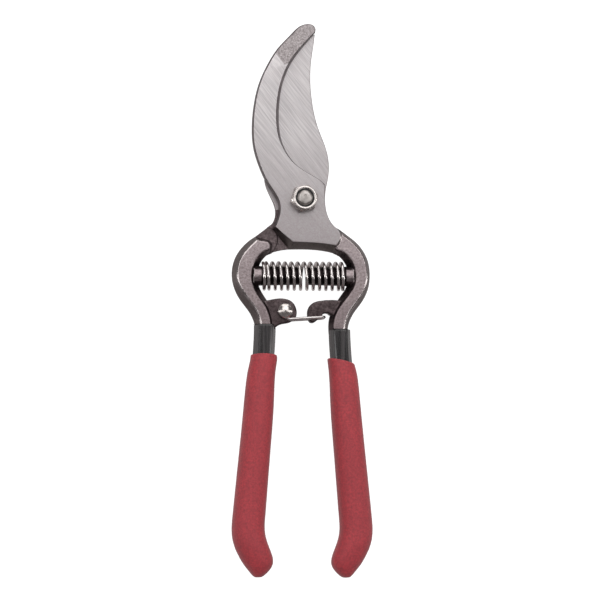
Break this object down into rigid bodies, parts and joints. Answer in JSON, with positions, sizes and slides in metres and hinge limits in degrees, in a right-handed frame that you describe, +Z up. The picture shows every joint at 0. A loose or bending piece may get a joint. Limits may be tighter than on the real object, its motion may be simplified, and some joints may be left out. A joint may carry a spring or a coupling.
{
  "type": "bypass pruning shears",
  "caption": "Forged bypass pruning shears with a curved hook and blade, a coil return spring, a wire bail latch and soft dipped grips, closed and latched.",
  "frame": {"origin": "on the pivot axis, at the flat underside of the pivot bolt's head", "axes": "+X to the right across the handles, +Y along the shears from the handles to the cutting tips, +Z up along the pivot axis, out of the nut; the shears lie flat"},
  "size_m": [0.0562, 0.2206, 0.0193],
  "materials": {
    "forged_steel": "satin forged steel, ground on the head",
    "plated_fastener": "bright nickel plate",
    "nylon": "moulded nylon",
    "spring_wire": "hard drawn spring steel, oiled",
    "latch_steel": "bright drawn wire",
    "black_vinyl": "dipped glossy vinyl",
    "red_grip": "fine pebbled foam vinyl"
  },
  "bodies": {
    "blade_half": {"blade_forging": "forged_steel", "left_undersleeve": "black_vinyl", "left_grip": "red_grip", "pivot_bolt": "plated_fastener", "pivot_nut": "plated_fastener", "nut_insert": "nylon", "latch_rivet": "latch_steel", "return_spring": "spring_wire"},
    "hook_half": {"hook_forging": "forged_steel", "right_undersleeve": "black_vinyl", "right_grip": "red_grip"},
    "latch": {"latch_wire": "latch_steel"}
  },
  "joints": [
    {"name": "handle_pivot", "type": "hinge", "parent": "blade_half", "child": "hook_half", "pos_m": [0, 0, 0.008], "axis": [0, 0, 1], "range_deg": [0, 28], "deforming": ["return_spring"]},
    {"name": "latch_swing", "type": "hinge", "parent": "blade_half", "child": "latch", "pos_m": [-0.0072, -0.0445, 0.008], "axis": [0, 0, 1], "range_deg": [-84, 0]}
  ],
  "couplings": [
    {"joint": "latch_swing", "follows": "handle_pivot", "ratio": -3}
  ]
}
